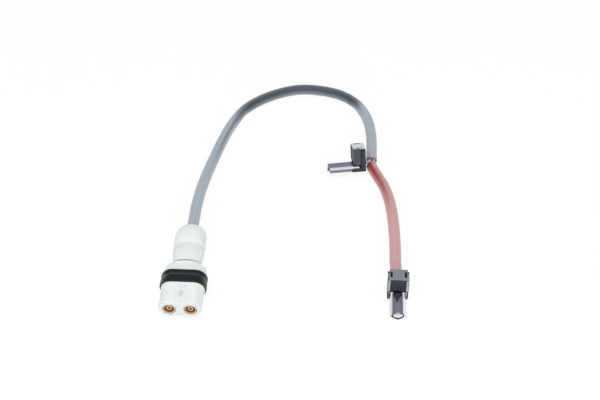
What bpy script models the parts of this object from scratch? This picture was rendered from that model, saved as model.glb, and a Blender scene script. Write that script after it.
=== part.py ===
"""Brake pad wear sensor: a two-way sealed plug, one cable and two clip-in sensor heads.

The part lies on a table at its real size. Lengths below are in millimetres and become
metres where a shape is made. The plug's own axes are X across, Y from its mating face
towards the cable and Z up, from its centre line. A head's own axes are X towards the
tip, from the front of its block, Y across, and Z up from the face that it lies on.
"""

import math

import bmesh
import bpy
from mathutils import Matrix, Vector

MM = 0.001

# Where each group lies on the table
TO_ORIGIN = Vector((6.8, 22.62, 0.0))
PLUG_AT = (-51.2, -72.8)
PLUG_TURN = math.radians(-2.75)
HEAD_1_AT = (42.4, -61.4)
HEAD_1_TURN = math.radians(-92.8)
HEAD_2_AT = (25.4, 19.8)
HEAD_2_TURN = math.radians(187.0)
HEAD_2_ROLL = math.radians(22.0)

# Clearance between neighbours, and how far one form runs into the next of its piece
SEAT = 0.3
BITE = 0.1
CLEAR = 1.0

# Cable
SLEEVE_OD = 5.2
LEAD_OD = 1.2
PLUG_WIRE_OD = 1.6
SLEEVE_SPACING = 2.2
LEAD_SPACING = 0.6

# Plug housing: outlines with two half-round ends, whose centres are this far apart
OUTLINE_STEPS = 40
OVAL_FULLNESS = 2.4
ROUND_FULLNESS = 2.0
SOCKET_PITCH = 9.1
END_SPREAD = 0.4
BARREL_R = 4.7
BARREL_LENGTH = 10.3
NOTCH_FRONT_DEPTH = 0.7
NOTCH_REAR_DEPTH = 2.1
FACE_ROUND = 0.6
FACE_ROUND_STEPS = 3
RIM_STEP = 0.15
RIM_WIDTH = 1.2
CORE_R = 3.5
SEAL_WIDTH = 7.3
SHOULDER_R = 4.6
SHOULDER_FLAT = 2.3
SHOULDER_ROUND = 0.5
SHOULDER_ROUND_LENGTH = 2.0
SHOULDER_NECK_LENGTH = 0.8
SHOULDER_LENGTH = 5.7
SHOULDER_REAR = (14.2, 9.1)
SHOULDER_NECK = 0.6
SPIGOT = (9.6, 7.6)
SPIGOT_LENGTH = 7.5
SPIGOT_WALL = 1.1

# Seal: the rear bead stands behind a groove, the front bead is broader
SEAL_R = 5.5
SEAL_VALLEY = 0.45
SEAL_EDGE = 0.5
REAR_BEAD = 2.3

# Contacts
CONTACT_STEPS = 28
SOCKET_R = 2.6
SOCKET_WALL = 0.5
SOCKET_INSET = 0.15
SOCKET_LENGTH = 10.3
SOCKET_FLOOR = 1.2
CRIMP_R = 1.5
CRIMP_WALL = 0.4
CRIMP_LENGTH = 4.8
CRIMP_HOLE = 2.6
PIN_TUBE_R = 1.25
PIN_TUBE_HOLE_R = 0.65
PIN_TUBE_INSET = 0.6
PIN_TUBE_HOLE = 6.5

# Wire seals
WIRE_SEAL_R = 2.1
WIRE_SEAL_LENGTH = 3.0
WIRE_SEAL_RIB = 0.35
WIRE_SEAL_RIBS = 3
WIRE_BEND_STEPS = 8
WIRE_GAP = 0.85

# Rear cap
CAP_JOINT = 0.8
CAP_LENGTH = 21.9
CAP_FRONT = (12.1, 9.9)
CAP_WAIST = (13.8, 10.6)
CAP_BODY = (14.1, 11.0)
CAP_TAIL = (8.6, 8.2)
CAP_COLLAR = 8.6
CAP_GROOVE_WIDTH = 2.2
CAP_GROOVE_DEPTH = 0.35
CAP_GROOVE_RAMP = 0.8
CAP_CHAMFER = 0.4
CAP_DOME = 5.6
CAP_ROOM = (8.4, 7.4)
CAP_ROOM_RAMP = 2.0
CAP_TAIL_WALL = 5.0
CAP_DOME_STEPS = 6
SLEEVE_IN_CAP = 5.6

# Sensor head: block, side rails and nose
BLOCK_LENGTH = 6.0
BLOCK_WIDTH = 7.8
BLOCK_FOOT = 4.25
BLOCK_ROUND = 0.25
REAR_WALL = 2.1
REAR_WALL_TOP = 10.4
RAIL_WIDTH = 0.55
RAIL_TOP = 3.2
PRONG_LENGTH = 0.8
PRONG_HEIGHT = 0.9
TOP_SLOT_LENGTH = 3.2
TOP_SLOT_WIDTH = 0.9
TOP_SLOT_DEPTH = 1.5
TOP_SLOT_OFFSET = 3.1
TOP_SLOT_FRONT = 1.4
ENTRY_HEIGHT = 3.6
ENTRY_DEPTH = 1.2
NOSE_TIP = 0.6

# Sensor head: contact loop in a channel under the nose
LOOP_OD = 0.7
LOOP_SPAN = 2.6
LOOP_HEIGHT = 1.15
LOOP_FRONT = 8.2

# Sensor head: spring clip pressed from one sheet
SHEET = 0.5
TONGUE_HALF = 3.7
TONGUE_TOP = 3.9
TONGUE_REACH = 12.3
TONGUE_ROUND = 0.9
TONGUE_STEPS = 20
CLIP_REAR = 2.9
LIP_HALF = 2.35
LIP_SAG = 1.8
LIP_EDGE = 2.4
SADDLE_SHEET = 0.4
SADDLE_TOP = 11.7
SADDLE_FOLD = 0.8
CHEEK_LENGTH = 3.4

# Grommet in the rear of the second head
GROMMET_LENGTH = 0.8
GROMMET_HOLES = 2.0
GROMMET_HOLE_HEIGHT = 3.0
GROMMET_CLEARANCE = 0.24

# Centre line of each sleeve on the table, from one end to the other
GREY_ROUTE = (
    (-49.18, -31.25, 5.5),
    (-48.9, -25.4, 5.5),
    (-48.6, -19.6, 5.45),
    (-48.0, -9.4, 5.1),
    (-46.7, 2.3, 4.3),
    (-44.6, 14.6, 3.2),
    (-41.8, 26.7, 2.65),
    (-38.6, 38.6, 2.6),
    (-34.6, 50.8, 2.6),
    (-28.5, 62.9, 2.6),
    (-20.6, 70.9, 2.6),
    (-10.5, 76.8, 2.6),
    (0.0, 79.8, 2.6),
    (11.0, 78.9, 2.6),
    (21.0, 75.2, 2.6),
    (28.5, 68.4, 2.6),
    (33.0, 59.4, 2.6),
    (35.0, 50.0, 2.6),
    (35.4, 40.1, 2.6),
    (35.1, 32.0, 2.6),
    (34.8, 24.9, 2.6),
)
RED_ROUTE = (
    (34.6, 21.3, 2.6),
    (35.4, 18.4, 2.6),
    (37.4, 13.2, 2.6),
    (40.1, 5.8, 2.6),
    (41.7, -1.6, 2.6),
    (42.6, -9.4, 2.6),
    (43.0, -18.7, 2.6),
    (43.0, -28.9, 2.65),
    (42.75, -36.4, 2.8),
    (42.4, -43.9, 3.2),
    (42.45, -50.0, 3.5),
    (42.6, -54.4, 3.6),
    (42.65, -56.3, 3.6),
)

# Short leads between the sleeves' ends and the second head: where each stands on a
# sleeve's end, across and up from its centre, and the bend that it takes on the way
LEAD_STRAIGHT = 0.9
LEAD_1_ON_GREY = (1.5, -0.3)
LEAD_1_BEND = ((32.6, 23.2, 2.9),)
LEAD_2_BEND = ((33.7, 22.1, 5.0), (34.1, 22.8, 3.6))
LEAD_2_ON_RED = (-0.9, 0.3)
LEAD_3_ON_GREY = (-1.1, 0.4)
LEAD_3_BEND = ((35.7, 23.2, 3.15),)
LEAD_3_ON_RED = (1.0, 0.4)

# Stations that several pieces share
END_CENTRES = SOCKET_PITCH + END_SPREAD
RIM_R = BARREL_R + RIM_STEP
RIM_REAR = BARREL_LENGTH + RIM_WIDTH
SEAL_REAR = RIM_REAR + SEAL_WIDTH
HOUSING_REAR = SEAL_REAR + SHOULDER_LENGTH
SPIGOT_REAR = HOUSING_REAR + SPIGOT_LENGTH
CAP_START = HOUSING_REAR + CAP_JOINT
CAP_REAR = CAP_START + CAP_LENGTH
SLEEVE_START = CAP_REAR - SLEEVE_IN_CAP
SOCKET_REAR = SOCKET_INSET + SOCKET_LENGTH
CRIMP_REAR = SOCKET_REAR + CRIMP_LENGTH
WIRE_SEAL_START = CRIMP_REAR + 2 * SEAT
WIRE_SEAL_REAR = WIRE_SEAL_START + WIRE_SEAL_LENGTH
RAIL_INNER = TONGUE_HALF + SEAT
RAIL_OUTER = RAIL_INNER + RAIL_WIDTH
CHEEK_INNER = BLOCK_WIDTH / 2 + SEAT
BLOCK_TOP = SADDLE_TOP - SADDLE_SHEET - SEAT
SLOT_REAR = -TOP_SLOT_FRONT - TOP_SLOT_LENGTH
NOSE_HALF = TONGUE_HALF - SHEET - SEAT
NOSE_TOP = TONGUE_TOP - SHEET - SEAT
SLEEVE_HOLE_R = SLEEVE_OD / 2 + SEAT
HEAD_2_LIFT = RAIL_OUTER * math.sin(HEAD_2_ROLL)


def surface(name, colour, roughness, metallic=0.0):
    material = bpy.data.materials.new(name)
    material.use_nodes = True
    shader = material.node_tree.nodes["Principled BSDF"]
    shader.inputs["Base Color"].default_value = (*colour, 1.0)
    shader.inputs["Roughness"].default_value = roughness
    shader.inputs["Metallic"].default_value = metallic
    return material


def place_data(name, data, material, frame):
    if material:
        data.materials.append(material)
    piece = bpy.data.objects.new(name, data)
    piece.parent = frame
    bpy.context.scene.collection.objects.link(piece)
    return piece


def add_solid(name, shape, material=None, frame=None):
    """Turn a bmesh drawn in millimetres into an object in metres."""
    bmesh.ops.recalc_face_normals(shape, faces=shape.faces)
    bmesh.ops.scale(shape, vec=(MM, MM, MM), verts=shape.verts)
    mesh = bpy.data.meshes.new(name)
    shape.to_mesh(mesh)
    shape.free()
    mesh.shade_smooth()
    mesh.set_sharp_from_angle(angle=math.radians(35))
    return place_data(name, mesh, material, frame)


def add_frame(name, at, lift, turn, roll=0.0):
    """Add the empty that carries a group, and turn and lift it into place."""
    frame = bpy.data.objects.new(name, None)
    frame.location = (Vector((*at, lift)) + TO_ORIGIN) * MM
    frame.rotation_euler = (roll, 0.0, turn)
    bpy.context.scene.collection.objects.link(frame)
    return frame


def combine(piece, tool, operation):
    """Join, cut or trim a piece with a tool that stays hidden."""
    tool.parent = piece.parent
    tool.hide_render = True
    tool.display_type = "WIRE"
    modifier = piece.modifiers.new(tool.name, "BOOLEAN")
    modifier.solver = "EXACT"
    modifier.operation = operation
    modifier.object = tool


def cut(piece, name, shape):
    tool = add_solid(f"{piece.name}_{name}", shape)
    combine(piece, tool, "DIFFERENCE")
    return tool


def join(piece, name, shape):
    combine(piece, add_solid(f"{piece.name}_{name}", shape), "UNION")


def loft(outlines):
    """Skin a row of closed outlines, point to point, and close both ends."""
    shape = bmesh.new()
    rings = [[shape.verts.new(point) for point in points] for points in outlines]
    for near, far in zip(rings, rings[1:]):
        for i in range(len(near)):
            shape.faces.new((near[i - 1], near[i], far[i], far[i - 1]))
    shape.faces.new(rings[0])
    shape.faces.new(rings[-1])
    return shape


def turned(profile, ring=False, steps=CONTACT_STEPS):
    """Spin (radius, y) points round the Y axis, from axis to axis or as a ring."""
    shape = bmesh.new()
    verts = [shape.verts.new((radius, y, 0.0)) for radius, y in profile]
    edges = [shape.edges.new(pair) for pair in zip(verts, verts[1:])]
    if ring:
        edges.append(shape.edges.new((verts[-1], verts[0])))
    bmesh.ops.spin(
        shape,
        geom=verts + edges,
        cent=(0, 0, 0),
        axis=(0, 1, 0),
        angle=2 * math.pi,
        steps=steps,
        use_merge=True,
    )
    bmesh.ops.remove_doubles(shape, verts=shape.verts, dist=1e-4)
    return shape


def prism(outline, start, end, along="z"):
    """Extrude an outline of (x, y) points along Z, or of (y, z) points along X."""
    shape = bmesh.new()
    if along == "z":
        points = [(x, y, start) for x, y in outline]
        shift = (0.0, 0.0, end - start)
    else:
        points = [(start, y, z) for y, z in outline]
        shift = (end - start, 0.0, 0.0)
    face = shape.faces.new([shape.verts.new(point) for point in points])
    grown = bmesh.ops.extrude_face_region(shape, geom=[face])["geom"]
    moved = [item for item in grown if isinstance(item, bmesh.types.BMVert)]
    bmesh.ops.translate(shape, verts=moved, vec=shift)
    return shape


def rectangle(low_x, high_x, low_y, high_y):
    return [(low_x, low_y), (high_x, low_y), (high_x, high_y), (low_x, high_y)]


def shifted(shape, x=0.0, y=0.0, z=0.0):
    bmesh.ops.translate(shape, verts=shape.verts, vec=(x, y, z))
    return shape


def rounded(shape, radius, edges=None, segments=2):
    bmesh.ops.bevel(
        shape,
        geom=edges or shape.edges[:],
        offset=radius,
        offset_type="OFFSET",
        segments=segments,
        profile=0.5,
        affect="EDGES",
        material=-1,
    )
    return shape


def stadium(radius, y):
    """Outline of the plug at one station: two half-round ends joined by flats."""
    half = OUTLINE_STEPS // 2
    points = []
    for side in (0.0, math.pi):
        for step in range(half):
            angle = side + math.pi * (step / (half - 1) - 0.5)
            x = END_CENTRES / 2 * math.cos(side) + radius * math.cos(angle)
            points.append((x, y, radius * math.sin(angle)))
    return points


def twin_barrel(radius, notch, y):
    """Outline of both barrels with a web between them that is this high each way."""
    half = OUTLINE_STEPS // 2
    reach = math.pi - math.asin(notch / radius)
    points = []
    for side in (0.0, math.pi):
        for step in range(half):
            angle = side + reach * (2 * step / (half - 1) - 1)
            x = SOCKET_PITCH / 2 * math.cos(side) + radius * math.cos(angle)
            points.append((x, y, radius * math.sin(angle)))
    return points


def oval(size, y, fullness=OVAL_FULLNESS):
    """Outline of the plug at one station: an oval with full shoulders."""
    width, height = size
    points = []
    for step in range(OUTLINE_STEPS):
        angle = 2 * math.pi * (step + 0.5) / OUTLINE_STEPS - math.pi / 2
        across, up = math.cos(angle), math.sin(angle)
        x = width / 2 * math.copysign(abs(across) ** (2 / fullness), across)
        z = height / 2 * math.copysign(abs(up) ** (2 / fullness), up)
        points.append((x, y, z))
    return points


def shrunk(size, by):
    return tuple(side - 2 * by for side in size)


def blend(start, end, share):
    return tuple(a + (b - a) * share for a, b in zip(start, end))


def arch(half, top, foot, x):
    """Half-round outline of the tongue at one station, closed along its foot."""
    points = []
    for step in range(TONGUE_STEPS + 1):
        angle = math.pi * step / TONGUE_STEPS
        points.append((x, half * math.cos(angle), foot + (top - foot) * math.sin(angle)))
    return points


def smooth_route(points, spacing):
    """Read evenly spaced points from one smooth curve through the chosen ones."""
    guide = [Vector(point) for point in points]
    guide = [2 * guide[0] - guide[1], *guide, 2 * guide[-1] - guide[-2]]
    fine = []
    for a, b, c, d in zip(guide, guide[1:], guide[2:], guide[3:]):
        for step in range(12):
            t = step / 12
            bend = (2 * a - 5 * b + 4 * c - d) * t**2 + (3 * b - a - 3 * c + d) * t**3
            fine.append(b + 0.5 * ((c - a) * t + bend))
    fine.append(guide[-2])
    total = sum((b - a).length for a, b in zip(fine, fine[1:]))
    count = max(2, round(total / spacing))
    even = [fine[0]]
    walked = 0.0
    for a, b in zip(fine, fine[1:]):
        step = (b - a).length
        while len(even) < count and walked + step >= total * len(even) / count:
            even.append(a.lerp(b, (total * len(even) / count - walked) / step))
        walked += step
    even.append(fine[-1])
    return even


def add_cable(name, points, diameter, material, frame=None, sides=2):
    """Add a round cable through the points, closed at both ends."""
    curve = bpy.data.curves.new(name, "CURVE")
    curve.dimensions = "3D"
    curve.bevel_depth = diameter / 2 * MM
    curve.bevel_resolution = sides
    curve.use_fill_caps = True
    line = curve.splines.new("POLY")
    line.points.add(len(points) - 1)
    for knot, point in zip(line.points, points):
        knot.co = (*(Vector(point) * MM), 1.0)
    return place_data(name, curve, material, frame)


def on_table(points):
    return [Vector(point) + TO_ORIGIN for point in points]


def add_plug_housing(frame, material):
    shoulder = (END_CENTRES + 2 * SHOULDER_R, 2 * SHOULDER_R)
    shoulder_edge = SEAL_REAR + SHOULDER_FLAT
    stations = (
        stadium(RIM_R - SEAT, BARREL_LENGTH - SEAT),
        stadium(RIM_R, BARREL_LENGTH),
        stadium(RIM_R, RIM_REAR),
        stadium(CORE_R, RIM_REAR),
        stadium(CORE_R, SEAL_REAR),
        stadium(SHOULDER_R, SEAL_REAR),
        stadium(SHOULDER_R, shoulder_edge),
        stadium(SHOULDER_R - SHOULDER_ROUND, shoulder_edge + SHOULDER_ROUND_LENGTH),
        oval(blend(shoulder, SHOULDER_REAR, SHOULDER_NECK), HOUSING_REAR - SHOULDER_NECK_LENGTH),
        oval(SHOULDER_REAR, HOUSING_REAR),
        oval(SPIGOT, HOUSING_REAR),
        oval(SPIGOT, SPIGOT_REAR),
    )
    housing = add_solid("plug_housing", loft(stations), material, frame)
    barrels = []
    for step in range(FACE_ROUND_STEPS + 1):
        angle = math.pi / 2 * step / FACE_ROUND_STEPS
        radius = BARREL_R - FACE_ROUND * (1 - math.sin(angle))
        y = FACE_ROUND * (1 - math.cos(angle))
        barrels.append(twin_barrel(radius, radius - NOTCH_FRONT_DEPTH, y))
    barrels.append(twin_barrel(BARREL_R, BARREL_R - NOTCH_REAR_DEPTH, BARREL_LENGTH + RIM_WIDTH / 2))
    join(housing, "barrels", loft(barrels))
    contact_hole = (
        (0.0, -CLEAR),
        (SOCKET_R + SEAT, -CLEAR),
        (SOCKET_R + SEAT, SOCKET_REAR + SEAT),
        (CRIMP_R + SEAT, SOCKET_REAR + SEAT),
        (CRIMP_R + SEAT, WIRE_SEAL_START - SEAT),
        (WIRE_SEAL_R + SEAT, WIRE_SEAL_START - SEAT),
        (WIRE_SEAL_R + SEAT, WIRE_SEAL_REAR + SEAT),
        (0.0, WIRE_SEAL_REAR + SEAT),
    )
    for side in (-1, 1):
        hole = shifted(turned(contact_hole), x=side * SOCKET_PITCH / 2)
        cut(housing, f"contact_hole_{side}", hole)
    room = shrunk(SPIGOT, SPIGOT_WALL)
    mouth = (SOCKET_PITCH + 2 * WIRE_SEAL_R + SEAT, 2 * (WIRE_SEAL_R + SEAT))
    chamber = (
        oval(mouth, WIRE_SEAL_REAR),
        oval(room, HOUSING_REAR + SEAT),
        oval(room, SPIGOT_REAR + CLEAR),
    )
    cut(housing, "chamber", loft(chamber))


def add_plug_seal(frame, material):
    valley = SEAL_R - SEAL_VALLEY
    front = RIM_REAR + SEAT
    rear = SEAL_REAR - SEAT
    groove = rear - REAR_BEAD
    profile = (
        (SEAL_R - SEAL_EDGE, front),
        (SEAL_R - 0.15 * SEAL_EDGE, front + 0.3 * SEAL_EDGE),
        (SEAL_R, front + SEAL_EDGE),
        (SEAL_R, groove - 2 * SEAL_EDGE),
        (SEAL_R - 0.3 * SEAL_VALLEY, groove - SEAL_EDGE),
        (valley, groove),
        (SEAL_R - 0.3 * SEAL_VALLEY, groove + SEAL_EDGE),
        (SEAL_R, groove + 2 * SEAL_EDGE),
        (SEAL_R - 0.15 * SEAL_EDGE, rear - 0.3 * SEAL_EDGE),
        (SEAL_R - SEAL_EDGE, rear),
    )
    seal = add_solid("plug_seal", loft([stadium(radius, y) for radius, y in profile]), material, frame)
    hole = [stadium(CORE_R + SEAT, y) for y in (front - CLEAR, rear + CLEAR)]
    cut(seal, "hole", loft(hole))


def add_contacts(frame, brass, rubber, copper):
    """Fill each barrel with a socket, its inner tube, a wire seal and a wire."""
    bore = SOCKET_R - SOCKET_WALL
    floor = SOCKET_REAR - SOCKET_FLOOR
    socket = (
        (0.0, floor),
        (bore, floor),
        (bore, SOCKET_INSET),
        (SOCKET_R, SOCKET_INSET),
        (SOCKET_R, SOCKET_REAR - SEAT),
        (CRIMP_R, SOCKET_REAR),
        (CRIMP_R, CRIMP_REAR),
        (CRIMP_R - CRIMP_WALL, CRIMP_REAR),
        (CRIMP_R - CRIMP_WALL, CRIMP_REAR - CRIMP_HOLE),
        (0.0, CRIMP_REAR - CRIMP_HOLE),
    )
    pin_tube = (
        (0.0, PIN_TUBE_INSET + PIN_TUBE_HOLE),
        (PIN_TUBE_HOLE_R, PIN_TUBE_INSET + PIN_TUBE_HOLE),
        (PIN_TUBE_HOLE_R, PIN_TUBE_INSET),
        (PIN_TUBE_R, PIN_TUBE_INSET),
        (PIN_TUBE_R, floor - SEAT),
        (0.0, floor - SEAT),
    )
    wire_hole = PLUG_WIRE_OD / 2 + SEAT
    seal = [(wire_hole, WIRE_SEAL_START), (wire_hole, WIRE_SEAL_REAR)]
    steps = 2 * WIRE_SEAL_RIBS
    for step in range(steps, -1, -1):
        rib = WIRE_SEAL_RIB if step % 2 else 0.0
        seal.append((WIRE_SEAL_R - rib, WIRE_SEAL_START + step / steps * WIRE_SEAL_LENGTH))
    wide = SOCKET_PITCH / 2
    close = (PLUG_WIRE_OD + WIRE_GAP) / 2
    bend_end = HOUSING_REAR + SPIGOT_LENGTH / 2
    route = [(wide, CRIMP_REAR - CRIMP_HOLE + SEAT)]
    for step in range(WIRE_BEND_STEPS + 1):
        share = step / WIRE_BEND_STEPS
        x = wide + (close - wide) * share**2 * (3 - 2 * share)
        route.append((x, WIRE_SEAL_REAR + (bend_end - WIRE_SEAL_REAR) * share))
    route.append((close, SPIGOT_REAR))
    route.append((close, SLEEVE_START - SEAT))
    for side, word in ((-1, "left"), (1, "right")):
        at = side * wide
        add_solid(f"contact_socket_{word}", shifted(turned(socket), x=at), brass, frame)
        add_solid(f"contact_core_{word}", shifted(turned(pin_tube, steps=20), x=at), brass, frame)
        add_solid(f"wire_seal_{word}", shifted(turned(seal, ring=True, steps=24), x=at), rubber, frame)
        line = smooth_route([(side * x, y, 0.0) for x, y in route], 2 * PLUG_WIRE_OD)
        add_cable(f"plug_wire_{word}", line, PLUG_WIRE_OD, copper, frame)


def add_rear_cap(frame, material):
    step = CAP_START + CAP_COLLAR
    groove = shrunk(CAP_WAIST, CAP_GROOVE_DEPTH)
    stations = [
        oval(shrunk(CAP_FRONT, CAP_CHAMFER), CAP_START),
        oval(CAP_FRONT, CAP_START + CAP_CHAMFER),
        oval(CAP_WAIST, step - CAP_GROOVE_RAMP),
        oval(groove, step),
        oval(groove, step + CAP_GROOVE_WIDTH),
        oval(CAP_BODY, step + CAP_GROOVE_WIDTH + CAP_GROOVE_RAMP),
    ]
    for count in range(CAP_DOME_STEPS + 1):
        angle = math.pi / 2 * count / CAP_DOME_STEPS
        size = blend(CAP_TAIL, CAP_BODY, math.cos(angle))
        fullness = OVAL_FULLNESS + (ROUND_FULLNESS - OVAL_FULLNESS) * math.sin(angle)
        stations.append(oval(size, CAP_REAR - CAP_DOME * (1 - math.sin(angle)), fullness))
    cap = add_solid("plug_rear_cap", loft(stations), material, frame)
    pocket = shrunk(SPIGOT, -SEAT)
    room_front = SPIGOT_REAR + CAP_ROOM_RAMP
    room = (
        oval(pocket, CAP_START - CLEAR),
        oval(pocket, SPIGOT_REAR + SEAT),
        oval(CAP_ROOM, room_front),
        oval(CAP_ROOM, CAP_REAR - CAP_TAIL_WALL),
    )
    cut(cap, "room", loft(room))
    exit_hole = (
        (0.0, room_front),
        (SLEEVE_HOLE_R, room_front),
        (SLEEVE_HOLE_R, CAP_REAR + CLEAR),
        (0.0, CAP_REAR + CLEAR),
    )
    cut(cap, "sleeve_hole", turned(exit_hole))


def top_slot(side):
    """Outline of the slot near one edge of a head's top, in its sheet and its block."""
    middle = side * TOP_SLOT_OFFSET
    return rectangle(SLOT_REAR, -TOP_SLOT_FRONT, middle - TOP_SLOT_WIDTH / 2, middle + TOP_SLOT_WIDTH / 2)


def add_head_body(head, frame, material):
    rear = -BLOCK_LENGTH
    half = BLOCK_WIDTH / 2
    wall_front = rear + REAR_WALL
    clip_rear = -CLIP_REAR - SEAT
    body_shape = rounded(prism(rectangle(rear, 0.0, -half, half), BLOCK_FOOT, BLOCK_TOP), BLOCK_ROUND)
    body = add_solid(f"{head}_body", body_shape, material, frame)
    wall = prism(rectangle(rear, wall_front, -RAIL_OUTER, RAIL_OUTER), 0.0, REAR_WALL_TOP)
    upright = [edge for edge in wall.edges if abs(edge.verts[0].co.z - edge.verts[1].co.z) > 1.0]
    join(body, "rear_wall", rounded(wall, BLOCK_ROUND, upright))
    web = prism(rectangle(wall_front - BITE, clip_rear, -half, half), 0.0, BLOCK_FOOT + BLOCK_ROUND + BITE)
    join(body, "web", web)
    for side in (-1, 1):
        rail = (
            (wall_front - BITE, side * (half - BITE)),
            (clip_rear, side * (half - BITE)),
            (clip_rear, side * RAIL_INNER),
            (PRONG_LENGTH, side * RAIL_INNER),
            (PRONG_LENGTH, side * (RAIL_OUTER - BLOCK_ROUND)),
            (0.0, side * RAIL_OUTER),
            (wall_front - BITE, side * RAIL_OUTER),
        )
        join(body, f"rail_{side}", prism(rail, 0.0, RAIL_TOP))
    prong_room = rectangle(0.0, PRONG_LENGTH + CLEAR, -RAIL_OUTER - CLEAR, RAIL_OUTER + CLEAR)
    cut(body, "prong_room", prism(prong_room, PRONG_HEIGHT, BLOCK_FOOT - SEAT / 2))
    tip = TONGUE_REACH - SHEET - SEAT
    nose = (
        arch(NOSE_HALF, NOSE_TOP, SEAT, clip_rear - BITE),
        arch(NOSE_HALF, NOSE_TOP, SEAT, tip - 2 * NOSE_TIP),
        arch(NOSE_HALF - 0.3 * NOSE_TIP, NOSE_TOP - 0.3 * NOSE_TIP, SEAT, tip - NOSE_TIP),
        arch(NOSE_HALF - NOSE_TIP, NOSE_TOP - NOSE_TIP, SEAT, tip),
    )
    join(body, "nose", loft(nose))
    for side in (-1, 1):
        cut(body, f"top_slot_{side}", prism(top_slot(side), BLOCK_TOP - TOP_SLOT_DEPTH, BLOCK_TOP + CLEAR))
    entry_front = rear + ENTRY_DEPTH
    entry = ((0.0, -CLEAR), (SLEEVE_HOLE_R, -CLEAR), (SLEEVE_HOLE_R, ENTRY_DEPTH), (0.0, ENTRY_DEPTH))
    hole = turned(entry)
    bmesh.ops.rotate(hole, verts=hole.verts, cent=(0, 0, 0), matrix=Matrix.Rotation(-math.pi / 2, 3, "Z"))
    cut(body, "entry", shifted(hole, x=rear, z=ENTRY_HEIGHT))
    channel_half = (LOOP_SPAN + LOOP_OD) / 2 + SEAT
    rib_half = (LOOP_SPAN - LOOP_OD) / 2 - SEAT
    well = rectangle(entry_front - BITE, clip_rear - 2 * SEAT, -channel_half, channel_half)
    cut(body, "well", prism(well, SEAT, ENTRY_HEIGHT))
    racetrack = [(clip_rear - 2 * SEAT - BITE, -channel_half)]
    rib = [(clip_rear - 2 * SEAT - 2 * BITE, -rib_half)]
    for step in range(13):
        angle = math.pi * (step / 12 - 0.5)
        racetrack.append((LOOP_FRONT + channel_half * math.cos(angle), channel_half * math.sin(angle)))
        rib.append((LOOP_FRONT + rib_half * math.cos(angle), rib_half * math.sin(angle)))
    racetrack.append((clip_rear - 2 * SEAT - BITE, channel_half))
    rib.append((clip_rear - 2 * SEAT - 2 * BITE, rib_half))
    ceiling = LOOP_HEIGHT + LOOP_OD / 2 + SEAT
    channel = cut(body, "channel", prism(racetrack, -CLEAR, ceiling))
    cut(channel, "rib", prism(rib, -2 * CLEAR, ceiling + CLEAR))


def add_head_clip(head, frame, material):
    """Fold the spring clip: an arched tongue with a lip, and a saddle round the block."""
    tongue = [arch(TONGUE_HALF, TONGUE_TOP, 0.0, -CLIP_REAR)]
    for count in range(5):
        angle = math.radians(22.5 * count)
        inset = TONGUE_ROUND * (1 - math.cos(angle))
        x = TONGUE_REACH - TONGUE_ROUND * (1 - math.sin(angle))
        tongue.append(arch(TONGUE_HALF - inset, TONGUE_TOP - inset, 0.0, x))
    clip = add_solid(f"{head}_clip", loft(tongue), material, frame)
    inner_half = TONGUE_HALF - SHEET
    inner_top = TONGUE_TOP - SHEET
    hollow = [(y, z) for _, y, z in arch(inner_half, inner_top, 0.0, 0.0)]
    hollow += [(-inner_half, -CLEAR), (inner_half, -CLEAR)]
    cut(clip, "hollow", prism(hollow, -CLIP_REAR - CLEAR, TONGUE_REACH - SHEET, along="x"))
    lip = [(LIP_HALF + 2 * CLEAR + TONGUE_HALF, -CLEAR), (LIP_HALF + 2 * CLEAR + TONGUE_HALF, LIP_EDGE)]
    lip.append((LIP_HALF, LIP_EDGE))
    for step in range(11):
        share = 1 - step / 5
        lip.append((LIP_HALF * share, LIP_SAG * share**2))
    lip.append((-LIP_HALF, LIP_EDGE))
    lip += [(-LIP_HALF - 2 * CLEAR - TONGUE_HALF, LIP_EDGE), (-LIP_HALF - 2 * CLEAR - TONGUE_HALF, -CLEAR)]
    cut(clip, "lip_room", prism(lip, TONGUE_REACH - TONGUE_ROUND, TONGUE_REACH + CLEAR, along="x"))
    outer = CHEEK_INNER + SADDLE_SHEET
    base = RAIL_TOP + SEAT
    around = prism(rectangle(-outer, outer, base, SADDLE_TOP), -CHEEK_LENGTH, -BITE, along="x")
    folds = [
        edge
        for edge in around.edges
        if min(vert.co.z for vert in edge.verts) > SADDLE_TOP - BITE
        and abs(edge.verts[0].co.x - edge.verts[1].co.x) > BITE
    ]
    saddle = add_solid(f"{head}_clip_saddle", rounded(around, SADDLE_FOLD, folds, segments=3))
    room = rectangle(-CHEEK_INNER, CHEEK_INNER, base + SADDLE_SHEET, SADDLE_TOP - SADDLE_SHEET)
    combine(clip, saddle, "UNION")
    cut(saddle, "room", prism(room, -CHEEK_LENGTH - CLEAR, CLEAR, along="x"))
    half = BLOCK_WIDTH / 2
    roof = rectangle(-BLOCK_LENGTH, -CHEEK_LENGTH + BITE, -half, half)
    join(clip, "roof", prism(roof, SADDLE_TOP - SADDLE_SHEET, SADDLE_TOP))
    for side in (-1, 1):
        cut(clip, f"slot_{side}", prism(top_slot(side), BLOCK_TOP + SEAT / 2, SADDLE_TOP + CLEAR))
    strip_rear = rectangle(-CHEEK_LENGTH - CLEAR, -CLIP_REAR, -CHEEK_INNER, CHEEK_INNER)
    cut(clip, "strip_rear", prism(strip_rear, -CLEAR, base + 2 * SADDLE_SHEET))


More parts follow.
